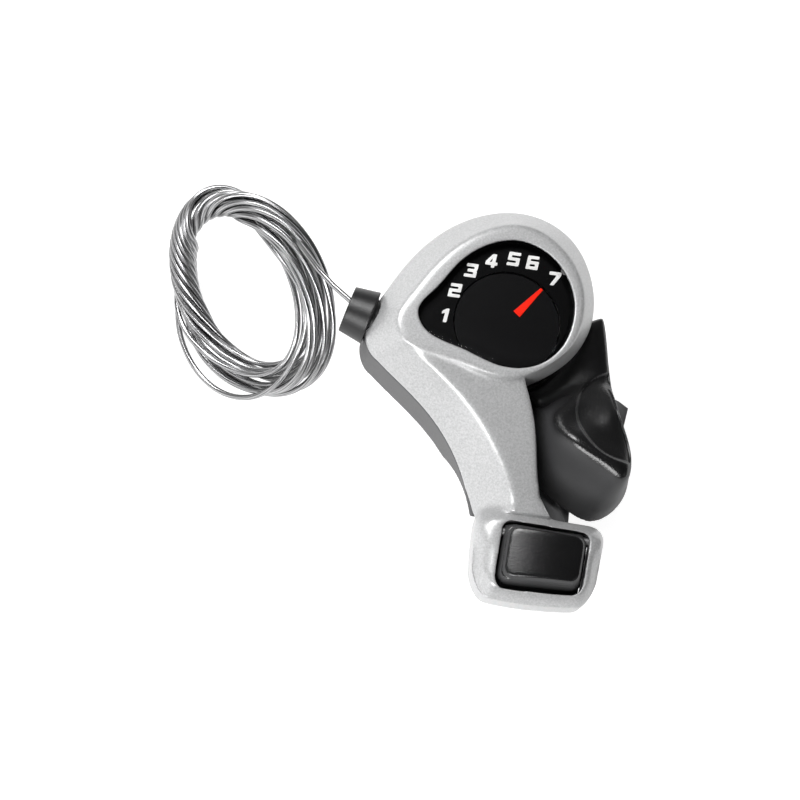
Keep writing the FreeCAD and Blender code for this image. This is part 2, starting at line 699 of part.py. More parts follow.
def lever_arm():
    start = -62.0
    end = 12.0
    a, b, c = [at(*polar(ARM_INNER, t), ARM_Z) for t in (end, (start + end) / 2, start)]
    outer = [at(x, y, ARM_Z) for x, y in ARM_EDGE]
    low = at(12.2, -16.0, ARM_Z)
    middle = at(22.0, -17.0, ARM_Z)
    edge = Part.BSplineCurve()
    edge.interpolate(Points=outer)
    edges = [
        Part.Arc(a, b, c).toShape(),
        Part.LineSegment(c, low).toShape(),
        Part.LineSegment(low, middle).toShape(),
        Part.LineSegment(middle, outer[-1]).toShape(),
        edge.toShape(),
        Part.LineSegment(outer[0], a).toShape(),
    ]
    wire = Part.Wire(Part.__sortEdges__(edges))
    return prism(wire, ARM_TOP - ARM_Z)


def lever_paddle():
    paddle = Part.makeLoft(
        [closed_spline(PADDLE_FOOT, PADDLE_Z), closed_spline(PADDLE_TOP, PADDLE_TOP_Z)], True, True
    )
    run = V(0.64, -0.77, 0)
    across = V(0.77, 0.64, 0)
    low = at(0, 0, ARM_TOP - 0.6) + run * 16.5
    high = at(0, 0, PADDLE_TOP_Z + 0.4) + run * 27.5
    far = V(0, 0, 12)
    face = [low - run * 20 - across * 30, low - across * 30, high - across * 30]
    face = face + [high - across * 30 + far, low - run * 20 - across * 30 + far]
    above = Part.Face(Part.makePolygon(face + face[:1])).extrude(across * 60)
    return paddle.cut(above)


def make_thumb_lever():
    lever = lever_arm().fuse(lever_paddle())
    for x, y in RIVETS:
        lever = lever.cut(disc(1.1, PLATE_Z, PLATE_THICKNESS + 2.6, x, y))
    return lever.removeSplitter()


def make_drive_pawl_pin():
    x, y = polar(DRIVE_PIN_RADIUS, DRIVE_PIN_ANGLE)
    shank = disc(PIN_RADIUS, PLATE_Z, SPOOL_Z + 0.3 - PLATE_Z, x, y)
    return shank.fuse(disc(PIN_RADIUS + 0.7, SPOOL_Z + 0.3, 0.5, x, y))


def pawl_body(pin, outline, z):
    """A flat pawl: an eye round its pin and a blade with the given outline."""
    eye = disc(PIN_RADIUS + 1.2, z, RATCHET_THICKNESS - AXIAL_PLAY, *pin)
    blade = prism(polygon(outline, z), RATCHET_THICKNESS - AXIAL_PLAY)
    return eye.fuse(blade).cut(disc(PIN_RADIUS + RUNNING_FIT, z, RATCHET_THICKNESS, *pin))


PAWL_LIFT = 0.3
LEAF = 0.4


def make_drive_pawl():
    pin = polar(DRIVE_PIN_RADIUS, DRIVE_PIN_ANGLE)
    nose = TIP_RADIUS + PAWL_LIFT
    outline = [
        polar(DRIVE_PIN_RADIUS - 1.6, DRIVE_PIN_ANGLE),
        polar(DRIVE_PIN_RADIUS - 0.2, DRIVE_PIN_ANGLE - 4.0),
        polar(DRIVE_PIN_RADIUS + 1.6, DRIVE_PIN_ANGLE + 4.0),
        polar(nose + 1.5, DRIVE_PIN_ANGLE + 28.0),
        polar(nose, DRIVE_PIN_ANGLE + 29.0),
        polar(nose + 0.1, DRIVE_PIN_ANGLE + 22.0),
    ]
    return pawl_body(pin, outline, RATCHET_Z)


HOLD_NOSE = TIP_RADIUS + PAWL_LIFT
HOLD_HEEL = (HOLD_PIN[0] - 1.6, HOLD_PIN[1] + 1.6)
HOLD_BACK = polar(HOLD_NOSE + 2.0, 240.0)


def make_hold_pawl():
    """A hooked blade towards the wheel and a tail that the slider pushes."""
    x, y = HOLD_PIN
    hook = [
        HOLD_HEEL, HOLD_BACK, polar(HOLD_NOSE + 2.2, 232.0), polar(HOLD_NOSE, 230.0),
        polar(HOLD_NOSE + 0.1, 243.0), (x + 1.4, y + 2.0), (x + 1.6, y + 1.4),
    ]
    end = SLIDER_X + SLIDER_WIDTH
    tail = [(x, y + 1.6), (x, y - 1.6), (end, y - TAIL_HALF), (end, y + 0.6)]
    tail = prism(polygon(tail, RATCHET_Z), RATCHET_THICKNESS - AXIAL_PLAY)
    tail = tail.cut(disc(PIN_RADIUS + RUNNING_FIT, RATCHET_Z, RATCHET_THICKNESS, x, y))
    return pawl_body(HOLD_PIN, hook, RATCHET_Z).fuse(tail)


def make_hold_pawl_pin():
    return disc(PIN_RADIUS, FLOOR_TOP, SPOOL_Z - 0.2 - FLOOR_TOP, *HOLD_PIN)


def make_hold_pawl_spring():
    """A leaf spring from the screw post to just behind the pawl's back."""
    x, y = SCREWS[2]
    z = RATCHET_Z + 0.3
    root = x + POST_RADIUS
    tip_x = HOLD_HEEL[0] + 0.8 * (HOLD_BACK[0] - HOLD_HEEL[0])
    tip_y = HOLD_HEEL[1] + 0.8 * (HOLD_BACK[1] - HOLD_HEEL[1]) - PAWL_LIFT
    bend = (y + tip_y) / 2
    leaf = [
        (root, y + 0.2), (root + LEAF, y + 0.2), (root + LEAF, bend),
        (tip_x + LEAF, tip_y - 0.2), (tip_x, tip_y), (root, bend + 0.2),
    ]
    return prism(polygon(leaf, z), RATCHET_THICKNESS - 0.7)


def make_drive_pawl_spring():
    """A leaf spring standing on the plate behind the drive pawl."""
    pin = DRIVE_PIN_ANGLE
    far = DRIVE_PIN_RADIUS + 2.8
    near = TIP_RADIUS + PAWL_LIFT + 2.6
    leaf = [
        polar(far, pin - 6.0), polar(far + LEAF, pin - 6.0), polar(far + LEAF - 0.1, pin + 8.0),
        polar(near + LEAF, pin + 25.0), polar(near, pin + 25.0), polar(far - 0.1, pin + 8.0),
    ]
    return prism(polygon(leaf, ARM_Z), RATCHET_Z + RATCHET_THICKNESS - 0.5 - ARM_Z)


def make_lever_return_spring():
    return coil_spring(BOSS_RADIUS + 1.1, 0.8, 1.8, FLOOR_TOP + 0.45)


def button_axle(radius, seat):
    left = FOOT_CORNERS[1][0] + WALL - seat
    right = FOOT_CORNERS[2][0] + 1.2 - WALL + seat
    start = at(left, BUTTON_PIN_Y, BUTTON_PIN_Z)
    return Part.makeCylinder(radius, right - left, start, ALONG_BAR)


def make_button_pin():
    return button_axle(BUTTON_PIN_RADIUS, 1.0)


def make_release_button():
    sides = shrunk(BUTTON_CORNERS, BUTTON_GAP)
    low = rounded(sides, BUTTON_CORNER_RADIUS, BUTTON_BOTTOM)
    rim = rounded(sides, BUTTON_CORNER_RADIUS, FOOT_TOP - 0.4)
    top = rounded(shrunk(sides, BUTTON_DRAFT), BUTTON_CORNER_RADIUS, FOOT_TOP + BUTTON_RISE)
    block = Part.makeLoft([low, rim, top], True, True)
    room = prism(rounded(shrunk(sides, 1.8), 1.0, BUTTON_BOTTOM), FOOT_TOP - 1.2 - BUTTON_BOTTOM)
    block = block.cut(room)
    crank_x = SLIDER_X + SLIDER_WIDTH + 0.2
    hub = Part.makeCylinder(1.4, 16.0, at(crank_x, BUTTON_PIN_Y, BUTTON_PIN_Z), ALONG_BAR)
    block = block.fuse(hub)
    arm_y = BUTTON_PIN_Y - CRANK_HALF
    arm_z = RATCHET_Z + 0.5
    arm = Part.makeBox(2.4, 2 * CRANK_HALF, BUTTON_PIN_Z - arm_z, at(crank_x, arm_y, arm_z))
    block = block.fuse(arm)
    return block.cut(button_axle(BUTTON_PIN_RADIUS + RUNNING_FIT, 3.0))


def make_release_slider():
    """A flat bar in the neck, from the button's crank to the hold pawl's tail."""
    z = FOOT_BOTTOM + 0.8 + AXIAL_PLAY
    far = HOLD_PIN[1] - TAIL_HALF - PUSH_GAP
    near = BUTTON_PIN_Y + CRANK_HALF + PUSH_GAP
    bar = Part.makeBox(SLIDER_WIDTH, far - 2.0 - near, SLIDER_THICKNESS, at(SLIDER_X, near, z))
    half = SLIDER_WIDTH / 2
    finger = Part.makeBox(half, 3.0, SLIDER_THICKNESS, at(SLIDER_X + half, far - 3.0, z))
    foot = Part.makeBox(SLIDER_WIDTH + 2.8, 1.6, SLIDER_THICKNESS, at(SLIDER_X, near, z))
    return bar.fuse(finger).fuse(foot)


def make_button_spring():
    z = FOOT_BOTTOM + 0.8
    height = FOOT_TOP - 1.2 - z - 0.7
    return coil_spring(2.2, 0.6, 4.0, z + 0.35, 12.0, -47.0, height / 4.0)


BUILDERS = {
    "base_bracket": make_base_bracket,
    "clamp_bolt": make_clamp_bolt,
    "clamp_nut": make_clamp_nut,
    "upper_cover": make_upper_cover,
    "case_screws": make_case_screws,
    "indicator_lens": make_indicator_lens,
    "dial_plate": make_dial_plate,
    "main_axle": make_main_axle,
    "axle_clip": make_axle_clip,
    "thrust_washer": make_thrust_washer,
    "cable_outlet": make_cable_outlet,
    "cable_run": make_cable_run,
    "cable_lead": make_cable_lead,
    "cable_coil": make_cable_coil,
    "cable_spool": make_cable_spool,
    "ratchet_wheel": make_ratchet_wheel,
    "cable_nipple": make_cable_nipple,
    "pointer_disc": make_pointer_disc,
    "pointer": make_pointer,
    "thumb_lever": make_thumb_lever,
    "lever_plate": make_lever_plate,
    "lever_rivets": make_lever_rivets,
    "lever_return_spring": make_lever_return_spring,
    "drive_pawl": make_drive_pawl,
    "drive_pawl_pin": make_drive_pawl_pin,
    "drive_pawl_spring": make_drive_pawl_spring,
    "hold_pawl": make_hold_pawl,
    "hold_pawl_pin": make_hold_pawl_pin,
    "hold_pawl_spring": make_hold_pawl_spring,
    "release_button": make_release_button,
    "release_slider": make_release_slider,
    "button_pin": make_button_pin,
    "button_spring": make_button_spring,
}

for name, builder in BUILDERS.items():
    shape = builder()
    print(name, shape.isValid(), len(shape.Solids), round(shape.Volume, 1))
    shape.exportStep("parts/" + name + ".step")
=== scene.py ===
"""Looks of a thumb gear shifter for a bicycle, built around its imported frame."""

import json
import math

import bpy
from bpy.props import FloatProperty, FloatVectorProperty, IntProperty, PointerProperty
from bpy.types import Operator, Panel, PropertyGroup
from mathutils import Matrix, Vector
from mathutils.bvhtree import BVHTree

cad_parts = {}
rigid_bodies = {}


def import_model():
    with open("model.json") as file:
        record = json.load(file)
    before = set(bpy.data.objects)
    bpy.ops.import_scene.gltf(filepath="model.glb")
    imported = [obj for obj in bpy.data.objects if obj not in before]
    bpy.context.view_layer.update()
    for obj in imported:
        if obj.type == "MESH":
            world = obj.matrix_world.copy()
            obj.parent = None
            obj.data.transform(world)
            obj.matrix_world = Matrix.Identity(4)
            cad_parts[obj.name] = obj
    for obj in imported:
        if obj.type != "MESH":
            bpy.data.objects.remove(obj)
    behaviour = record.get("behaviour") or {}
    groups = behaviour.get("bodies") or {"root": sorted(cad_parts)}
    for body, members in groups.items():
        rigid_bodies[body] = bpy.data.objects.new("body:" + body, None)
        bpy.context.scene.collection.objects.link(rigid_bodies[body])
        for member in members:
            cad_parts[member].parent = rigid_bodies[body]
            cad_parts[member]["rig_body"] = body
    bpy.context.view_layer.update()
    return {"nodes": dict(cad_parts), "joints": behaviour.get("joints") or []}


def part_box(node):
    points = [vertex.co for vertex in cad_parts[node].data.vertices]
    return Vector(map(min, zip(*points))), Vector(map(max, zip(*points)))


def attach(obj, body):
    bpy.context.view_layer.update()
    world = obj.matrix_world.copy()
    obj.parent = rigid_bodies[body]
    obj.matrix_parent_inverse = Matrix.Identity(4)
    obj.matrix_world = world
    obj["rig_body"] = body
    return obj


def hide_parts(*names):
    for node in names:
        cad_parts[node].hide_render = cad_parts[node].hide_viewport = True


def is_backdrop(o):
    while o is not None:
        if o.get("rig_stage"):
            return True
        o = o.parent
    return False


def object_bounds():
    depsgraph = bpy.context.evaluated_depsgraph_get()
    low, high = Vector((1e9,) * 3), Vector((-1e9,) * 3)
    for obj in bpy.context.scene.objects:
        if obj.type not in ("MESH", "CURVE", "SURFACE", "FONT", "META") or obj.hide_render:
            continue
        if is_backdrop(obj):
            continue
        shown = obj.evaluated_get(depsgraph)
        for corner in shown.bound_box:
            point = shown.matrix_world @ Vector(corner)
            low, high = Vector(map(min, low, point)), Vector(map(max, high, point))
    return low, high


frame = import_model()

bl_info = {
    "name": "Thumb Shifter",
    "version": (1, 0, 0),
    "blender": (4, 5, 0),
    "location": "3D View > Sidebar > Shifter",
    "description": "Finishes a seven-step thumb shifter around its packed frame",
    "category": "Object",
}

MM = 0.001

# The dial's middle, which the spool and the lever turn about
JOINTS = {joint["name"]: joint for joint in frame["joints"]}
PIVOT = Vector(JOINTS["spool_index"]["pos_m"])
BEZEL_TOP = 30.0 * MM
DIAL_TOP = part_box("dial_plate")[1].z

# The photograph's camera: its axes, and the point that it looks at, seen from the dial's middle
VIEW_RIGHT = Vector((0.98748708, 0.10629911, 0.11648938))
VIEW_UP = Vector((-0.13271857, 0.95915567, 0.24981228))
VIEW_BACK = Vector((-0.08517663, -0.2621467, 0.9612617))
VIEW_ASIDE = -21.8 * MM
VIEW_BELOW = -16.0 * MM
VIEW_DISTANCE = 444.44 * MM

# The cable: the lead's route from the outlet, then a leaning oval coil
LEAD_ROUTE = [
    Vector((-0.04292, 0.03853, 0.0203)),
    Vector((-0.04882, 0.04229, 0.0203)),
    Vector((-0.05667, 0.05500, 0.0119)),
]
COIL_MIDDLE = Vector((-0.0634, 0.0442, 0.0))
COIL_LONG = Vector((0.5767, -0.7994, -0.1669))
COIL_SHORT = Vector((0.6608, 0.3366, 0.6705))
COIL_LONG_RADIUS = 19.8 * MM
COIL_SHORT_RADIUS = 15.2 * MM
COIL_ENTRY = math.radians(128.0)
POINTS_PER_TURN = 48
LAY_SPACING = 1.12
TWISTS = 2
TWIST_SWING = 2.1
TWIST_PINCH = 0.35
TIED_SIDE = math.radians(205.0)
FAN_SIDE = math.radians(40.0)
FAN_OUT = 0.45
WANDER = 0.6 * MM
# Single strands that stand off the bundle: angle along the cable, width and height of each bow
BOWS = [(math.radians(668.0), math.radians(40.0), 4.6 * MM), (math.radians(780.0), math.radians(30.0), 2.2 * MM)]

# Numerals of the dial, one unit high and one wide: an outline each, then any hole
NUMERALS = [
    [[(0.30, 0.0), (0.60, 0.0), (0.60, 1.0), (0.38, 1.0), (0.05, 0.80), (0.05, 0.58), (0.30, 0.70)]],
    [[
        (0.0, 0.0), (1.0, 0.0), (1.0, 0.22), (0.28, 0.22), (0.28, 0.39), (1.0, 0.39), (1.0, 1.0),
        (0.05, 1.0), (0.05, 0.78), (0.72, 0.78), (0.72, 0.61), (0.0, 0.61),
    ]],
    [[
        (0.0, 0.0), (1.0, 0.0), (1.0, 0.44), (0.92, 0.5), (1.0, 0.56), (1.0, 1.0), (0.05, 1.0),
        (0.05, 0.78), (0.72, 0.78), (0.72, 0.61), (0.2, 0.61), (0.2, 0.39), (0.72, 0.39),
        (0.72, 0.22), (0.0, 0.22),
    ]],
    [
        [
            (0.52, 0.0), (0.80, 0.0), (0.80, 0.18), (1.0, 0.18), (1.0, 0.40), (0.80, 0.40),
            (0.80, 1.0), (0.46, 1.0), (0.0, 0.42), (0.0, 0.18), (0.52, 0.18),
        ],
        [(0.30, 0.40), (0.52, 0.40), (0.52, 0.70)],
    ],
    [[
        (0.0, 0.0), (1.0, 0.0), (1.0, 0.61), (0.28, 0.61), (0.28, 0.78), (1.0, 0.78), (1.0, 1.0),
        (0.0, 1.0), (0.0, 0.39), (0.72, 0.39), (0.72, 0.22), (0.0, 0.22),
    ]],
    [
        [
            (0.0, 0.0), (1.0, 0.0), (1.0, 0.61), (0.28, 0.61), (0.28, 0.78), (0.95, 0.78),
            (0.95, 1.0), (0.0, 1.0),
        ],
        [(0.28, 0.22), (0.72, 0.22), (0.72, 0.39), (0.28, 0.39)],
    ],
    [[(0.24, 0.0), (0.55, 0.0), (1.0, 0.74), (1.0, 1.0), (0.0, 1.0), (0.0, 0.76), (0.64, 0.76)]],
]
# Where the numerals stand about the dial's middle: radius in millimetres and angle in degrees
NUMERAL_PLACES = [
    (12.3, 180.6), (12.4, 154.3), (13.05, 129.7), (13.4, 108.8), (13.7, 89.6), (14.05, 73.4), (13.8, 51.0),
]

# Where the cover's waist is eased into its foot
WAIST = Vector((-14.0, -2.7)) * MM
WAIST_REACH = (2.0 * MM, 7.0 * MM)
# How near to the openings the cover's edges stay crisp
CRISP = (0.7 * MM, 2.2 * MM)
# The plugs in the button pin's holes
PLUG_RADIUS = 1.5 * MM
PLUG_DEPTH = 2.0 * MM
# The foot's rim falls away from the button's opening, but not over the pin; its front edge bows out
RIM_FALL = 1.0 * MM
RIM_SPAN = (0.8 * MM, 4.2 * MM)
RIM_OVER_PIN = 0.1
RIM_CLEAR_OF_PIN = (1.5 * MM, 5.0 * MM)
FOOT_BACK = (-2.0 * MM, 3.0 * MM)
FOOT_FRONT = (-13.0 * MM, -18.0 * MM)
FOOT_SIDE = (7.0 * MM, 13.0 * MM)
FOOT_HALF_WIDTH = 13.0 * MM
FOOT_BOW = 1.0 * MM
FOOT_CORNER = 1.1 * MM
# The red needle on the turning disc
NEEDLE_TURN = math.radians(52.3)
NEEDLE_FROM = 2.9 * MM
NEEDLE_TO = 10.5 * MM
NEEDLE_ROOT = 1.75 * MM
NEEDLE_TIP = 0.6 * MM
# How far the button's top flares out, and from which height to which
BUTTON_FLARE = 0.06
BUTTON_TOP = (25.6 * MM, 27.6 * MM)
# Its flange below the opening's lip: at its sides, and lower and shorter at its front
BUTTON_FLANGE = 0.9 * MM
BUTTON_FRONT_FLANGE = 0.8 * BUTTON_FLANGE
BUTTON_UNDER_LIP = (21.7 * MM, 22.3 * MM)
BUTTON_FLANGE_FOOT = (18.5 * MM, 19.5 * MM)
BUTTON_SIDE = (6.5 * MM, 8.0 * MM)
BUTTON_FRONT = (4.5 * MM, 5.9 * MM)
# The crown of its top
BUTTON_CROWN = 1.0 * MM
BUTTON_CROWN_MIDDLE = 2.5 * MM
BUTTON_CROWN_SPAN = 8.0 * MM
# The rounded ridge round the lever's top, in plan
RIDGE = [
    Vector(spot) * MM
    for spot in (
        (2.2, 23.2), (0.9, 20.4), (0.6, 18.0), (1.6, 15.4), (4.1, 13.2),
        (8.4, 11.2), (11.8, 10.2), (14.7, 8.4), (16.6, 6.4),
    )
]
RIDGE_HEIGHT = 2.3 * MM
RIDGE_WIDTH = 3.6 * MM
# The ridge dies away towards the bezel, which it passes in its stroke: distances from the pivot
RIDGE_CLEAR = (17.8 * MM, 19.8 * MM)
# The heights above which the lever's grip is rounded
GRIP = (18.0 * MM, 21.0 * MM)
# The lever's left flank spreads towards the neck, most at its foot
FLANK_REACH = 2.3 * MM
FLANK_START = (7.0 * MM, 18.0 * MM)
FLANK_END = (22.0 * MM, 25.5 * MM)
FLANK_HEIGHT = (18.5 * MM, 25.5 * MM)
FLANK_WIDTH = (1.0 * MM, 5.0 * MM)
# The lever's thumb hollow: a round step in its top, about the dial's middle
HOLLOW_MIDDLE = Vector((26.7, -14.8)) * MM
HOLLOW_RADIUS = 10.6 * MM
HOLLOW_DEPTH = 0.7 * MM
HOLLOW_EDGE = 0.5 * MM

# Soft lights: name, heading from the dial, distance and size in metres, power in watts
LIGHTS = [
    ("key_light", (-0.4, 0.45, 0.8), 0.55, 0.26, 3.0),
    ("front_light", (-0.39, -0.69, 0.62), 0.5, 0.24, 1.9),
    ("low_light", (-0.85, -0.5, 0.2), 0.6, 0.5, 0.7),
    ("side_light", (0.75, -0.4, 0.5), 0.6, 0.3, 0.1),
]


class ShifterSizes(PropertyGroup):
    """Sizes that a user would change"""

    cable_diameter: FloatProperty(
        name="Cable", description="Thickness of the inner cable", default=1.2 * MM, unit="LENGTH"
    )
    cable_turns: IntProperty(name="Turns", description="Turns in the loose coil", default=16, min=2)
    numeral_height: FloatProperty(
        name="Numerals", description="Height of the dial's numerals", default=2.9 * MM, unit="LENGTH"
    )
    numeral_width: FloatProperty(
        name="Numeral width", description="Width of a numeral", default=2.45 * MM, unit="LENGTH"
    )
    paint_grain: FloatProperty(
        name="Paint grain", description="Size of the silver paint's grain", default=0.4 * MM, unit="LENGTH"
    )
    mould_grain: FloatProperty(
        name="Mould grain", description="Size of the black mouldings' grain", default=0.3 * MM, unit="LENGTH"
    )
    voxel: FloatProperty(
        name="Fineness", description="Mesh size of the mouldings", default=0.26 * MM, unit="LENGTH"
    )


class ShifterColours(PropertyGroup):
    """Colours that a user would change"""

    silver: FloatVectorProperty(
        name="Silver", description="Paint of the cover", subtype="COLOR", default=(0.44, 0.442, 0.445)
    )
    case_grey: FloatVectorProperty(
        name="Case grey", description="Base of the case", subtype="COLOR", default=(0.07, 0.07, 0.072)
    )
    black: FloatVectorProperty(
        name="Black", description="Lever, button and outlet", subtype="COLOR", default=(0.006, 0.006, 0.0063)
    )
    dial: FloatVectorProperty(
        name="Dial", description="Plate behind the window", subtype="COLOR", default=(0.006, 0.006, 0.0065)
    )
    red: FloatVectorProperty(
        name="Red", description="Pointer of the dial", subtype="COLOR", default=(0.9, 0.016, 0.003)
    )
    white: FloatVectorProperty(
        name="White", description="Numerals of the dial", subtype="COLOR", default=(0.8, 0.8, 0.79)
    )
    steel: FloatVectorProperty(
        name="Steel", description="Cable and fasteners", subtype="COLOR", default=(0.42, 0.42, 0.425)
    )


class Wire:
    """A socket of a material: sums on it add Math nodes, and node adds any other node."""

    def __init__(self, tree, socket):
        self.tree = tree
        self.socket = socket

    def node(self, kind, settings, values, output=0):
        made = self.tree.nodes.new("ShaderNode" + kind)
        stops = settings.pop("stops", [])
        for name, value in settings.items():
            setattr(made, name, value)
        for spot, (position, shade) in enumerate(stops):
            ramp = made.color_ramp.elements
            element = ramp[spot] if spot < 2 else ramp.new(position)
            element.position = position
            element.color = (shade, shade, shade, 1.0)
        for name, value in values.items():
            plug(self.tree, made.inputs[name], value)
        return Wire(self.tree, made.outputs[output])

    def sum(self, operation, first, second):
        return self.node("Math", {"operation": operation}, {0: first, 1: second})

    def __add__(self, other):
        return self.sum("ADD", self, other)

    def __radd__(self, other):
        return self.sum("ADD", other, self)

    def __sub__(self, other):
        return self.sum("SUBTRACT", self, other)

    def __rsub__(self, other):
        return self.sum("SUBTRACT", other, self)

    def __mul__(self, other):
        return self.sum("MULTIPLY", self, other)

    def __rmul__(self, other):
        return self.sum("MULTIPLY", other, self)


def plug(tree, socket, value):
    """Links a wire to a socket, or sets the socket to a plain value."""
    if isinstance(value, Wire):
        tree.links.new(value.socket, socket)
    elif hasattr(socket.default_value, "__len__") and len(socket.default_value) == 4:
        socket.default_value = (*value[:3], 1.0)
    else:
        socket.default_value = value


def start_material(name, coordinates="Object"):
    """A new material, with a wire of the surface's coordinates."""
    material = bpy.data.materials.new(name)
    material.use_nodes = True
    tree = material.node_tree
    return material, Wire(tree, tree.nodes.new("ShaderNodeTexCoord").outputs[coordinates])


def coat(material, **values):
    """Sets the shader's sockets, each named as in the shader with _ for a space."""
    tree = material.node_tree
    shader = tree.nodes["Principled BSDF"]
    for name, value in values.items():
        plug(tree, shader.inputs[name.replace("_", " ")], value)
    return material


def noise(place, size, detail=2.0):
    return place.node("TexNoise", {}, {"Vector": place, "Scale": 1.0 / size, "Detail": detail})


def part_of(place, axis):
    """One coordinate of a place: 0 for x, 1 for y, 2 for z."""
    return place.node("SeparateXYZ", {}, {"Vector": place}, axis)


def blend(factor, first, second):
    return factor.node("Mix", {"data_type": "RGBA"}, {0: factor, 6: first, 7: second}, 2)


def bump(height, strength, depth):
    return height.node("Bump", {}, {"Strength": strength, "Distance": depth, "Height": height})


def shade_of(colour, share):
    return [min(1.0, part * share) for part in colour]


def silver_paint():
    sizes = bpy.context.scene.shifter_sizes
    colour = bpy.context.scene.shifter_colours.silver
    material, place = start_material("silver_paint")
    grain = noise(place, sizes.paint_grain)
    flakes = noise(place, 0.4 * sizes.paint_grain, 1.0)
    cloud = noise(place, 9.0 * MM)
    mixed = 0.65 * grain + 0.35 * flakes
    speckle = mixed.node("ValToRGB", {"stops": [(0.36, 0.0), (0.64, 1.0)]}, {"Fac": mixed})
    tone = blend(speckle, shade_of(colour, 0.82), shade_of(colour, 1.14))
    tone = blend(0.16 * cloud, tone, shade_of(colour, 0.8))
    return coat(
        material,
        Base_Color=tone,
        Metallic=0.3,
        Roughness=0.3 + 0.16 * grain,
        Coat_Weight=0.3,
        Coat_Roughness=0.18,
        Normal=bump(grain, 0.2, 0.03 * MM),
    )


def grained_plastic(name, colour, grain_size, roughness, strength):
    """A moulding with a fine spark-eroded grain all over."""
    material, place = start_material(name)
    grain = noise(place, grain_size, 3.0)
    cloud = noise(place, 7.0 * MM)
    return coat(
        material,
        Base_Color=blend(cloud, shade_of(colour, 0.8), shade_of(colour, 1.25)),
        Roughness=roughness + 0.14 * grain + 0.06 * cloud,
        Normal=bump(grain, strength, 0.06 * MM),
    )


def grip_plastic(name, colour, grain_size):
    """A black moulding with glossy grained tops and matt sides, the sides painted lighter as painted light."""
    material, place = start_material(name)
    grain = noise(place, grain_size, 3.0)
    cloud = noise(place, 7.0 * MM)
    top = place.node("Attribute", {"attribute_name": "top"}, {}, 2)
    # Painted light: the sides take a tone about five times lighter than the black, standing in for the light on the
    # lever's push face and the button's sides.
    painted_light_side_tone = blend(cloud, shade_of(colour, 4.2), shade_of(colour, 5.6))
    top_tone = blend(cloud, shade_of(colour, 0.8), shade_of(colour, 1.25))
    return coat(
        material,
        Base_Color=blend(top, painted_light_side_tone, top_tone),
        Roughness=0.46 - 0.32 * top + 0.12 * grain + 0.05 * cloud,
        Specular_IOR_Level=0.6,
        Normal=bump(grain * top, 0.8, 0.06 * MM),
    )


def bright_metal(name, colour, roughness):
    """Plated steel with faint turning marks and stains."""
    material, place = start_material(name)
    marks = noise(place, 0.25 * MM, 4.0)
    stain = noise(place, 3.0 * MM, 3.0)
    tone = blend(stain, shade_of(colour, 0.78), shade_of(colour, 1.15))
    return coat(
        material,
        Base_Color=tone,
        Metallic=1.0,
        Roughness=roughness + 0.12 * marks + 0.08 * stain,
        Normal=bump(marks, 0.08, 0.02 * MM),
    )


def wire_rope():
    """Bright wire, laid in strands that wind round the cable, painted darker in the grooves between strands as
    painted shade.
    """
    colour = bpy.context.scene.shifter_colours.steel
    material, place = start_material("wire_rope", "UV")
    lay = (230.0 * part_of(place, 0) + 7.0 * part_of(place, 1)) * (2.0 * math.pi)
    strand = lay.node("Math", {"operation": "SINE"}, {0: lay})
    raised = 0.5 + 0.5 * strand
    # Painted shade: the tone falls to half in the grooves between the strands and is lighter on their crests.
    tone = blend(raised, shade_of(colour, 0.5), shade_of(colour, 1.2))
    return coat(
        material, Base_Color=tone, Metallic=1.0, Roughness=0.34 - 0.08 * raised, Normal=bump(raised, 0.5, 0.05 * MM)
    )


def smoked_window():
    """Clear smoked plastic: seen through, with a gloss that grows towards its edges."""
    material, place = start_material("window_clear")
    tree = material.node_tree
    scuff = noise(place, 2.0 * MM, 4.0)
    coat(material, Base_Color=(0.01, 0.01, 0.011), Roughness=0.05 + 0.05 * scuff)
    facing = place.node("Fresnel", {}, {"IOR": 1.42})
    clear = place.node("BsdfTransparent", {}, {"Color": (0.97, 0.97, 0.97)})
    shader = Wire(tree, tree.nodes["Principled BSDF"].outputs[0])
    mixed = place.node("MixShader", {}, {0: facing, 1: clear, 2: shader})
    tree.links.new(mixed.socket, tree.nodes["Material Output"].inputs["Surface"])
    return material


def printed(name, colour, roughness=0.5, glow=0.0):
    """A thin coat of ink with a faint mottle; glow makes the ink give off light though it is no lamp, a painted light
    that brightens it.
    """
    material, place = start_material(name)
    mottle = noise(place, 0.5 * MM, 3.0)
    tone = blend(mottle, shade_of(colour, 0.88), shade_of(colour, 1.1))
    return coat(
        # Painted light: the emission makes the ink glow brighter than the lamps light it.
        material, Base_Color=tone, Roughness=roughness + 0.03 * mottle, Emission_Color=tone, Emission_Strength=glow
    )


def only(piece):
    """Selects just this object and makes it active."""
    bpy.ops.object.select_all(action="DESELECT")
    piece.select_set(True)
    bpy.context.view_layer.objects.active = piece


def copy_of(node, name):
    """A copy of a CAD node's mesh with its loose triangles merged."""
    piece = bpy.data.objects.new(name, frame["nodes"][node].data.copy())
    piece.data.name = name
    piece.data.materials.clear()
    bpy.context.scene.collection.objects.link(piece)
    only(piece)
    bpy.ops.mesh.customdata_custom_splitnormals_clear()
    bpy.ops.object.mode_set(mode="EDIT")
    bpy.ops.mesh.select_all(action="SELECT")
    bpy.ops.mesh.remove_doubles(threshold=0.001 * MM)
    bpy.ops.object.mode_set(mode="OBJECT")
    return piece


def surface_of(*nodes):
    """The faces of some CAD nodes, for finding the nearest one."""
    corners = []
    faces = []
    for node in nodes:
        mesh = frame["nodes"][node].data
        first = len(corners)
        corners += [vertex.co.copy() for vertex in mesh.vertices]
        faces += [[first + i for i in face.vertices] for face in mesh.polygons]
    return BVHTree.FromPolygons(corners, faces)


def smooth_step(low, high, value):
    share = min(max((value - low) / (high - low), 0.0), 1.0)
    return share * share * (3.0 - 2.0 * share)


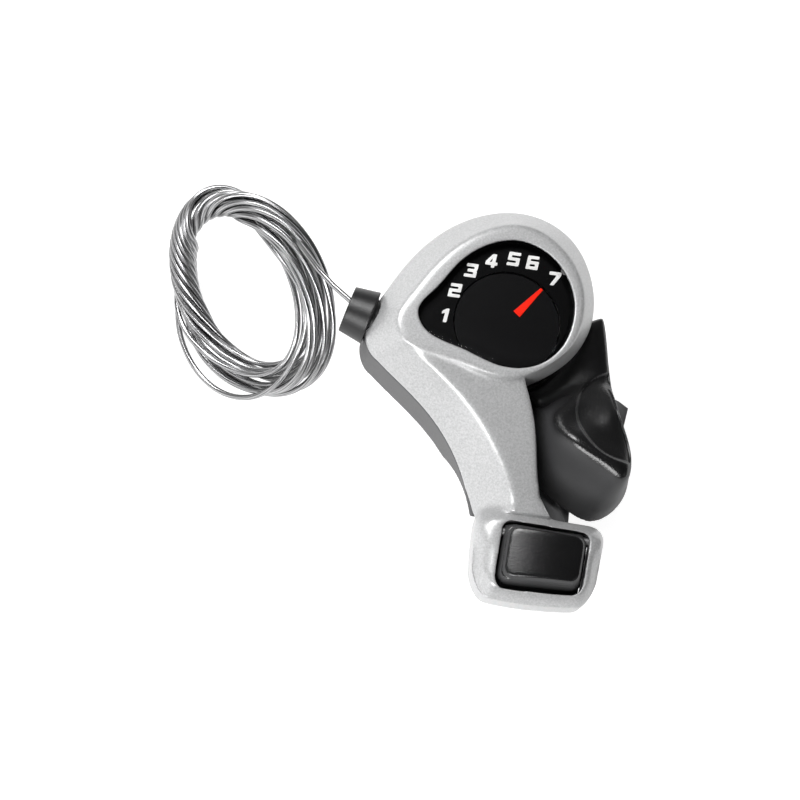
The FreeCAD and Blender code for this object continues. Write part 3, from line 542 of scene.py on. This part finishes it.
def weigh(piece, name, rule):
    """A vertex group whose weights come from each point's place."""
    group = piece.vertex_groups.new(name=name)
    for vertex in piece.data.vertices:
        group.add([vertex.index], rule(vertex.co), "REPLACE")
    return group.name


def gap_to_line(place, line):
    """How far a point is from a line of straight runs in plan."""
    gaps = []
    for start, end in zip(line, line[1:]):
        run = end - start
        share = min(max((place - start).dot(run) / run.length_squared, 0.0), 1.0)
        gaps.append((place - start - run * share).length)
    return min(gaps)


def away_from(nodes, near, far):
    """A rule that grows from nothing beside some CAD nodes to 1 away from them."""
    surface = surface_of(*nodes)

    def rule(place):
        distance = surface.find_nearest(place, far)[3]
        return 1.0 if distance is None else smooth_step(near, far, distance)

    return rule


def mark_tops(piece):
    """Notes how far each point of a piece faces up, for the grain and gloss of its tops and the painted light that
    lightens its sides.
    """
    tops = piece.data.attributes.new("top", "FLOAT", "POINT")
    facings = [smooth_step(0.55, 0.78, vertex.normal.z) for vertex in piece.data.vertices]
    tops.data.foreach_set("value", facings)


def paint_inside(piece, material, nodes, reach):
    """Gives a second, darker finish to the faces that look at the works inside: the unpainted moulding, which also
    stands in as painted shade on those walls.
    """
    surface = surface_of(*nodes)
    piece.data.materials.append(material)
    for face in piece.data.polygons:
        start = face.center + face.normal * (0.02 * MM)
        if surface.ray_cast(start, face.normal, reach)[0] is not None:
            face.material_index = 1


def relax(piece, rounds, group=""):
    """Rounds the edges of a fine mesh."""
    only(piece)
    modifier = piece.modifiers.new("Rounding", "SMOOTH")
    modifier.factor = 0.5
    modifier.iterations = rounds
    modifier.vertex_group = group
    bpy.ops.object.modifier_apply(modifier=modifier.name)


def moulding(node, name, voxel, rounds, extras=()):
    """A finely meshed copy of a CAD node, fused with any extras, with small rounds on its edges."""
    piece = copy_of(node, name)
    for extra in extras:
        extra.select_set(True)
    if extras:
        bpy.ops.object.join()
    piece.data.remesh_voxel_size = voxel
    bpy.ops.object.voxel_remesh()
    relax(piece, rounds)
    bpy.ops.object.shade_smooth()
    return piece


def eased(node, name, width):
    """A copy of a CAD node with its sharp edges bevelled."""
    piece = copy_of(node, name)
    bpy.ops.object.mode_set(mode="EDIT")
    bpy.ops.mesh.select_all(action="SELECT")
    bpy.ops.mesh.dissolve_limited(angle_limit=math.radians(1.0))
    bpy.ops.object.mode_set(mode="OBJECT")
    modifier = piece.modifiers.new("Eased edges", "BEVEL")
    modifier.width = width
    modifier.segments = 2
    modifier.angle_limit = math.radians(40.0)
    bpy.ops.object.modifier_apply(modifier=modifier.name)
    bpy.ops.object.shade_smooth_by_angle(angle=math.radians(35.0))
    return piece


def settle(piece, node, material):
    """Puts a piece in a CAD node's place: its body and its finish."""
    piece.data.materials.clear()
    piece.data.materials.append(material)
    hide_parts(node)
    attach(piece, frame["nodes"][node]["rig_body"])
    return piece


def dress(node, material):
    """Gives a CAD node its finish."""
    mesh = frame["nodes"][node].data
    mesh.materials.clear()
    mesh.materials.append(material)


def coil_point(angle, share):
    """A point of the loose coil: the bundle's middle, plus this turn's place in the bundle."""
    sizes = bpy.context.scene.shifter_sizes
    along = COIL_LONG * math.cos(angle)
    across = COIL_SHORT * math.sin(angle)
    middle = COIL_MIDDLE + along * COIL_LONG_RADIUS + across * COIL_SHORT_RADIUS
    outward = (along + across).normalized()
    upward = COIL_LONG.cross(COIL_SHORT).normalized()
    spacing = sizes.cable_diameter * LAY_SPACING
    radius = spacing * math.sqrt(share / math.pi)
    gathered = angle - TIED_SIDE
    turned = math.sqrt(4.0 * math.pi * share) + TWISTS * angle
    turned += TWIST_SWING * math.sin(gathered) + TWIST_PINCH * math.sin(2.0 * gathered)
    loose = 0.5 + 0.5 * math.cos(angle - FAN_SIDE)
    offset = outward * math.cos(turned) + upward * math.sin(turned)
    strays = WANDER * loose * math.sin(2.4 * share + 0.7 * math.sin(angle))
    for at, width, height in BOWS:
        strays += height * math.exp(-(((angle - at) / width) ** 2))
    return middle + offset * (radius * (1.0 + FAN_OUT * loose)) + outward * strays


def cable_points():
    """The lead's route, then the coil's turns from the outside of the bundle inwards."""
    turns = bpy.context.scene.shifter_sizes.cable_turns
    points = list(LEAD_ROUTE)
    for step in range(turns * POINTS_PER_TURN + 1):
        done = step / POINTS_PER_TURN
        points.append(coil_point(COIL_ENTRY + 2.0 * math.pi * done, turns + 0.4 - done))
    return points


class SHIFTER_OT_camera(Operator):
    """Stand the camera where the photograph was taken"""

    bl_idname = "shifter.camera"
    bl_label = "Camera"

    def execute(self, context):
        dial = Vector((PIVOT.x, PIVOT.y, BEZEL_TOP))
        target = dial + VIEW_RIGHT * VIEW_ASIDE + VIEW_UP * VIEW_BELOW
        turn = Matrix((VIEW_RIGHT, VIEW_UP, VIEW_BACK)).transposed()
        bpy.ops.object.camera_add(location=target + VIEW_BACK * VIEW_DISTANCE, rotation=turn.to_euler())
        camera = context.object
        camera.data.lens = 100.0
        camera.data.sensor_width = 36.0
        camera.data.clip_start = 0.01
        context.scene.camera = camera
        return {"FINISHED"}


class SHIFTER_OT_cable(Operator):
    """Lay the inner cable from the outlet into its loose coil"""

    bl_idname = "shifter.cable"
    bl_label = "Cable"

    def execute(self, context):
        diameter = context.scene.shifter_sizes.cable_diameter
        points = cable_points()
        curve = bpy.data.curves.new("inner_cable", "CURVE")
        curve.dimensions = "3D"
        spline = curve.splines.new("NURBS")
        spline.points.add(len(points) - 1)
        for spot, point in zip(spline.points, points):
            spot.co = (*point, 1.0)
        spline.order_u = 3
        spline.use_endpoint_u = True
        spline.resolution_u = 3
        curve.bevel_depth = diameter / 2
        curve.bevel_resolution = 3
        curve.use_fill_caps = True
        cable = bpy.data.objects.new("inner_cable", curve)
        context.scene.collection.objects.link(cable)
        curve.materials.append(wire_rope())
        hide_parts("cable_lead", "cable_coil")
        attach(cable, "housing")
        return {"FINISHED"}


class SHIFTER_OT_cover(Operator):
    """Mould the silver upper cover with soft ridges and crisp openings"""

    bl_idname = "shifter.cover"
    bl_label = "Cover"

    def execute(self, context):
        cover = moulding("upper_cover", "cover_shell", context.scene.shifter_sizes.voxel, 4, self.pin_plugs())
        openings = ("indicator_lens", "release_button", "cable_outlet", "base_bracket")
        relax(cover, 70, weigh(cover, "soft", away_from(openings, *CRISP)))
        relax(cover, 220, weigh(cover, "waist", self.waist))
        self.shape_foot(cover)
        settle(cover, "upper_cover", silver_paint())
        grey = grained_plastic("case_moulding", context.scene.shifter_colours.case_grey, 0.3 * MM, 0.42, 0.15)
        # The cover's inner faces and the walls of its openings take the dark moulding: the unpainted inside, and
        # painted shade inside the case.
        paint_inside(cover, grey, ("base_bracket", "dial_plate"), 30.0 * MM)
        paint_inside(cover, grey, ("release_button", "indicator_lens"), 1.2 * MM)
        return {"FINISHED"}

    def pin_plugs(self):
        """Closes the outer ends of the button pin's holes."""
        low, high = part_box("button_pin")
        middle = (low + high) / 2
        walls = surface_of("upper_cover")
        plugs = []
        for side in (-1.0, 1.0):
            start = Vector((side * 50.0 * MM, middle.y + 1.6 * MM, middle.z - 0.6 * MM))
            skin = walls.ray_cast(start, Vector((-side, 0.0, 0.0)))[0].x
            place = (skin - side * (PLUG_DEPTH / 2 + 0.05 * MM), middle.y, middle.z - 0.3 * MM)
            bpy.ops.mesh.primitive_cylinder_add(
                vertices=32, radius=PLUG_RADIUS, depth=PLUG_DEPTH, location=place, rotation=(0.0, math.pi / 2, 0.0)
            )
            plugs.append(bpy.context.object)
        return plugs

    def shape_foot(self, cover):
        """Crowns the rim round the button and rounds the foot's front edge."""
        low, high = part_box("release_button")
        middle = ((low + high) / 2).xy
        half = ((high - low) / 2).xy
        low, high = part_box("button_pin")
        pin = (low.y + high.y) / 2
        facings = [vertex.normal.z for vertex in cover.data.vertices]
        for vertex, facing in zip(cover.data.vertices, facings):
            aside = max(abs(vertex.co.x - middle.x) - half.x, 0.0)
            ahead = max(abs(vertex.co.y - middle.y) - half.y, 0.0)
            fall = smooth_step(*RIM_SPAN, math.hypot(aside, ahead))
            fall *= RIM_OVER_PIN + (1.0 - RIM_OVER_PIN) * smooth_step(*RIM_CLEAR_OF_PIN, abs(vertex.co.y - pin))
            vertex.co.z -= RIM_FALL * self.foot(vertex.co) * fall * smooth_step(0.1, 0.6, facing)
            front = smooth_step(*FOOT_FRONT, vertex.co.y)
            across = vertex.co.x / FOOT_HALF_WIDTH
            vertex.co.y -= FOOT_BOW * front * (1.0 - across * across)
            corner = FOOT_CORNER * front * smooth_step(*FOOT_SIDE, abs(vertex.co.x))
            vertex.co.x -= math.copysign(corner, vertex.co.x)
        relax(cover, 12, weigh(cover, "foot", self.foot))

    def foot(self, place):
        """The foot's share of the cover."""
        return 1.0 - smooth_step(*FOOT_BACK, place.y)

    def waist(self, place):
        """Where the neck's left side runs into the foot."""
        return 1.0 - smooth_step(*WAIST_REACH, (place.xy - WAIST).length)


class SHIFTER_OT_base(Operator):
    """Mould the dark base with its clamp band"""

    bl_idname = "shifter.base"
    bl_label = "Base"

    def execute(self, context):
        base = moulding("base_bracket", "base_shell", 1.6 * context.scene.shifter_sizes.voxel, 4)
        settle(base, "base_bracket", bpy.data.materials["case_moulding"])
        return {"FINISHED"}


class SHIFTER_OT_lever(Operator):
    """Mould the black thumb lever with its hollow, on its steel plate"""

    bl_idname = "shifter.lever"
    bl_label = "Lever"

    def execute(self, context):
        sizes = context.scene.shifter_sizes
        black = context.scene.shifter_colours.black
        lever = moulding("thumb_lever", "lever_grip", sizes.voxel, 20)
        relax(lever, 200, weigh(lever, "grip", lambda place: smooth_step(*GRIP, place.z)))
        self.spread_flank(lever)
        self.raise_ridge(lever)
        relax(lever, 240, "grip")
        self.press_hollow(lever)
        relax(lever, 3)
        mark_tops(lever)
        settle(lever, "thumb_lever", grip_plastic("grip_black", black, sizes.mould_grain))
        plate = bright_metal("zinc_plating", context.scene.shifter_colours.steel, 0.32)
        settle(eased("lever_plate", "lever_plate_steel", 0.2 * MM), "lever_plate", plate)
        dress("lever_rivets", plate)
        return {"FINISHED"}

    def spread_flank(self, lever):
        """Slopes the left flank out towards the neck."""
        for vertex in lever.data.vertices:
            share = smooth_step(*FLANK_START, vertex.co.y) * (1.0 - smooth_step(*FLANK_END, vertex.co.y))
            share *= 1.0 - smooth_step(*FLANK_HEIGHT, vertex.co.z)
            vertex.co.x -= FLANK_REACH * share * (1.0 - smooth_step(*FLANK_WIDTH, vertex.co.x))

    def raise_ridge(self, lever):
        """Lays a rounded bead along the ridge."""
        facings = [vertex.normal.z for vertex in lever.data.vertices]
        for vertex, facing in zip(lever.data.vertices, facings):
            crest = math.exp(-((gap_to_line(vertex.co.xy, RIDGE) / RIDGE_WIDTH) ** 2))
            clear = smooth_step(*RIDGE_CLEAR, (vertex.co - PIVOT).xy.length)
            vertex.co.z += RIDGE_HEIGHT * crest * clear * smooth_step(0.1, 0.6, facing)

    def press_hollow(self, lever):
        """Steps the thumb's hollow into the top."""
        facings = [vertex.normal.z for vertex in lever.data.vertices]
        for vertex, facing in zip(lever.data.vertices, facings):
            reach = (vertex.co - PIVOT).xy - HOLLOW_MIDDLE
            inside = smooth_step(0.0, HOLLOW_EDGE, HOLLOW_RADIUS - reach.length)
            vertex.co.z -= HOLLOW_DEPTH * inside * smooth_step(0.45, 0.7, facing)


class SHIFTER_OT_button(Operator):
    """Mould the black release button"""

    bl_idname = "shifter.button"
    bl_label = "Button"

    def execute(self, context):
        sizes = context.scene.shifter_sizes
        button = moulding("release_button", "button_cap", sizes.voxel, 14)
        low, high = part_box("release_button")
        middle = ((low + high) / 2).xy
        for vertex in button.data.vertices:
            vertex.co.xy += (vertex.co.xy - middle) * BUTTON_FLARE * smooth_step(*BUTTON_TOP, vertex.co.z)
            side = vertex.co.x - middle.x
            under = 1.0 - smooth_step(*BUTTON_UNDER_LIP, vertex.co.z)
            flange = BUTTON_FLANGE * under * smooth_step(*BUTTON_SIDE, abs(side))
            vertex.co.x += math.copysign(flange, side)
            lip = under * smooth_step(*BUTTON_FLANGE_FOOT, vertex.co.z)
            vertex.co.y -= BUTTON_FRONT_FLANGE * lip * smooth_step(*BUTTON_FRONT, middle.y - vertex.co.y)
            crown = ((side - BUTTON_CROWN_MIDDLE) / BUTTON_CROWN_SPAN) ** 2
            vertex.co.z -= BUTTON_CROWN * crown * smooth_step(*BUTTON_TOP, vertex.co.z)
        relax(button, 12)
        mark_tops(button)
        settle(button, "release_button", bpy.data.materials["grip_black"])
        return {"FINISHED"}


class SHIFTER_OT_dial(Operator):
    """Dress the dial: its plate, turning disc, pointer, numerals and window"""

    bl_idname = "shifter.dial"
    bl_label = "Dial"

    def execute(self, context):
        colours = context.scene.shifter_colours
        dress("dial_plate", printed("dial_plate_black", colours.dial, 0.18))
        dress("pointer_disc", printed("disc_black", shade_of(colours.dial, 1.5), 0.22))
        # The needle glows faintly: painted light that brightens its red.
        settle(self.needle(), "pointer", printed("needle_red", colours.red, 0.3, 0.7))
        dress("indicator_lens", smoked_window())
        numerals = self.numerals(context.scene.shifter_sizes)
        # The numerals glow faintly: painted light that brightens their white.
        numerals.data.materials.append(printed("numeral_white", colours.white, 0.5, 0.6))
        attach(numerals, "housing")
        return {"FINISHED"}

    def needle(self):
        """A thin tapered needle lying on the turning disc."""
        low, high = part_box("pointer")
        length = NEEDLE_TO - NEEDLE_FROM
        bpy.ops.mesh.primitive_cube_add(size=1.0)
        needle = bpy.context.object
        needle.name = "dial_needle"
        for vertex in needle.data.vertices:
            width = NEEDLE_ROOT if vertex.co.x < 0.0 else NEEDLE_TIP
            vertex.co.x = NEEDLE_FROM + (vertex.co.x + 0.5) * length
            vertex.co.y *= width
            vertex.co.z = low.z + (vertex.co.z + 0.5) * (high.z - low.z)
        needle.data.transform(Matrix.Translation((PIVOT.x, PIVOT.y, 0.0)) @ Matrix.Rotation(NEEDLE_TURN, 4, "Z"))
        modifier = needle.modifiers.new("Eased edges", "BEVEL")
        modifier.width = 0.08 * MM
        modifier.segments = 2
        bpy.ops.object.modifier_apply(modifier=modifier.name)
        return needle

    def numerals(self, sizes):
        """All seven numerals as one flat print on the dial plate."""
        curve = bpy.data.curves.new("dial_numerals", "CURVE")
        curve.dimensions = "2D"
        curve.fill_mode = "BOTH"
        curve.extrude = 0.06 * MM
        for outlines, (radius, angle) in zip(NUMERALS, NUMERAL_PLACES):
            turn = math.radians(angle)
            middle = PIVOT.xy + Vector((math.cos(turn), math.sin(turn))) * radius * MM
            for outline in outlines:
                spline = curve.splines.new("POLY")
                corners = rounded_corners(outline, 0.07)
                spline.points.add(len(corners) - 1)
                for spot, (x, y) in zip(spline.points, corners):
                    across = (x - 0.5) * sizes.numeral_width + (y - 0.5) * 0.14 * sizes.numeral_height
                    spot.co = (middle.x + across, middle.y + (y - 0.5) * sizes.numeral_height, 0.0, 1.0)
                spline.use_cyclic_u = True
        numerals = bpy.data.objects.new("dial_numerals", curve)
        bpy.context.scene.collection.objects.link(numerals)
        only(numerals)
        bpy.ops.object.convert(target="MESH")
        numerals.data.transform(Matrix.Translation((0.0, 0.0, DIAL_TOP + 0.08 * MM)))
        return numerals


def rounded_corners(outline, radius):
    """An outline with each corner replaced by a short curve."""
    points = []
    for i, corner in enumerate(outline):
        here = Vector(corner)
        back = Vector(outline[i - 1]) - here
        ahead = Vector(outline[(i + 1) % len(outline)]) - here
        start = here + back.normalized() * min(radius, 0.4 * back.length)
        end = here + ahead.normalized() * min(radius, 0.4 * ahead.length)
        for share in (0.0, 0.33, 0.67, 1.0):
            first = start.lerp(here, share)
            points.append(tuple(first.lerp(here.lerp(end, share), share)))
    return points


class SHIFTER_OT_outlet(Operator):
    """Mould the cable outlet"""

    bl_idname = "shifter.outlet"
    bl_label = "Outlet"

    def execute(self, context):
        black = context.scene.shifter_colours.black
        outlet = moulding("cable_outlet", "outlet_socket", 0.8 * context.scene.shifter_sizes.voxel, 6)
        settle(outlet, "cable_outlet", grained_plastic("socket_black", black, 0.35 * MM, 0.3, 0.3))
        return {"FINISHED"}


class SHIFTER_OT_works(Operator):
    """Dress the fasteners and the works inside the case"""

    bl_idname = "shifter.works"
    bl_label = "Works"

    def execute(self, context):
        steel = context.scene.shifter_colours.steel
        zinc = bpy.data.materials["zinc_plating"]
        springs = bright_metal("spring_wire", shade_of(steel, 0.8), 0.25)
        acetal = grained_plastic("natural_acetal", (0.62, 0.62, 0.58), 0.3 * MM, 0.4, 0.08)
        for node in ("clamp_bolt", "clamp_nut", "case_screws"):
            settle(eased(node, node + "_eased", 0.25 * MM), node, zinc)
        for node in (
            "main_axle", "axle_clip", "ratchet_wheel", "drive_pawl", "drive_pawl_pin",
            "hold_pawl", "hold_pawl_pin", "button_pin", "cable_nipple", "cable_run",
        ):
            dress(node, zinc)
        for node in ("lever_return_spring", "drive_pawl_spring", "hold_pawl_spring", "button_spring"):
            dress(node, springs)
        for node in ("thrust_washer", "cable_spool", "release_slider"):
            dress(node, acetal)
        return {"FINISHED"}


class SHIFTER_OT_stage(Operator):
    """Set the pale floor, the soft lights and the surroundings"""

    bl_idname = "shifter.stage"
    bl_label = "Stage"

    def execute(self, context):
        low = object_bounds()[0]
        bpy.ops.mesh.primitive_plane_add(size=6.0, location=(0.0, 0.0, low.z - 0.5 * MM))
        floor = context.object
        floor.name = "floor"
        white = start_material("floor_white")[0]
        coat(white, Base_Color=(0.4, 0.4, 0.4), Roughness=0.9, Emission_Color=(1.0, 1.0, 1.0), Emission_Strength=0.88)
        floor.data.materials.append(white)
        floor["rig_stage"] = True
        for light in LIGHTS:
            self.softbox(*light)
        self.surroundings(context.scene)
        context.scene.view_settings.view_transform = "Standard"
        return {"FINISHED"}

    def softbox(self, name, direction, distance, size, power):
        """A square soft light, aimed at the dial."""
        heading = Vector(direction).normalized()
        turn = heading.to_track_quat("Z", "Y").to_euler()
        bpy.ops.object.light_add(type="AREA", location=PIVOT + heading * distance, rotation=turn)
        light = bpy.context.object
        light.name = name
        light.data.size = size
        light.data.energy = power

    def surroundings(self, scene):
        """A studio that is bright round the horizon and darker overhead."""
        world = bpy.data.worlds.new("studio")
        world.use_nodes = True
        tree = world.node_tree
        place = Wire(tree, tree.nodes.new("ShaderNodeTexCoord").outputs["Generated"])
        height = part_of(place, 2)
        glow = height.node("ValToRGB", {"stops": [(0.0, 0.45), (0.8, 0.02)]}, {"Fac": height})
        plug(tree, tree.nodes["Background"].inputs["Color"], glow)
        plug(tree, tree.nodes["Background"].inputs["Strength"], 0.75 - 0.5 * part_of(place, 0))
        scene.world = world


class SHIFTER_PT_panel(Panel):
    """The shifter's sizes, colours and making steps"""

    bl_label = "Thumb Shifter"
    bl_idname = "SHIFTER_PT_panel"
    bl_space_type = "VIEW_3D"
    bl_region_type = "UI"
    bl_category = "Shifter"

    def draw(self, context):
        for group in (context.scene.shifter_sizes, context.scene.shifter_colours):
            for name in group.__annotations__:
                self.layout.prop(group, name)
        for step in STEPS:
            self.layout.operator(step.bl_idname)


STEPS = (
    SHIFTER_OT_camera,
    SHIFTER_OT_cable,
    SHIFTER_OT_cover,
    SHIFTER_OT_base,
    SHIFTER_OT_lever,
    SHIFTER_OT_button,
    SHIFTER_OT_dial,
    SHIFTER_OT_outlet,
    SHIFTER_OT_works,
    SHIFTER_OT_stage,
)
CLASSES = (ShifterSizes, ShifterColours, *STEPS, SHIFTER_PT_panel)


def register():
    for kind in CLASSES:
        bpy.utils.register_class(kind)
    bpy.types.Scene.shifter_sizes = PointerProperty(type=ShifterSizes)
    bpy.types.Scene.shifter_colours = PointerProperty(type=ShifterColours)


def unregister():
    del bpy.types.Scene.shifter_colours
    del bpy.types.Scene.shifter_sizes
    for kind in reversed(CLASSES):
        bpy.utils.unregister_class(kind)


def main():
    register()
    bpy.ops.shifter.camera()
    bpy.ops.shifter.cable()
    bpy.ops.shifter.cover()
    bpy.ops.shifter.base()
    bpy.ops.shifter.lever()
    bpy.ops.shifter.button()
    bpy.ops.shifter.dial()
    bpy.ops.shifter.outlet()
    bpy.ops.shifter.works()
    bpy.ops.shifter.stage()


if __name__ == "__main__":
    main()
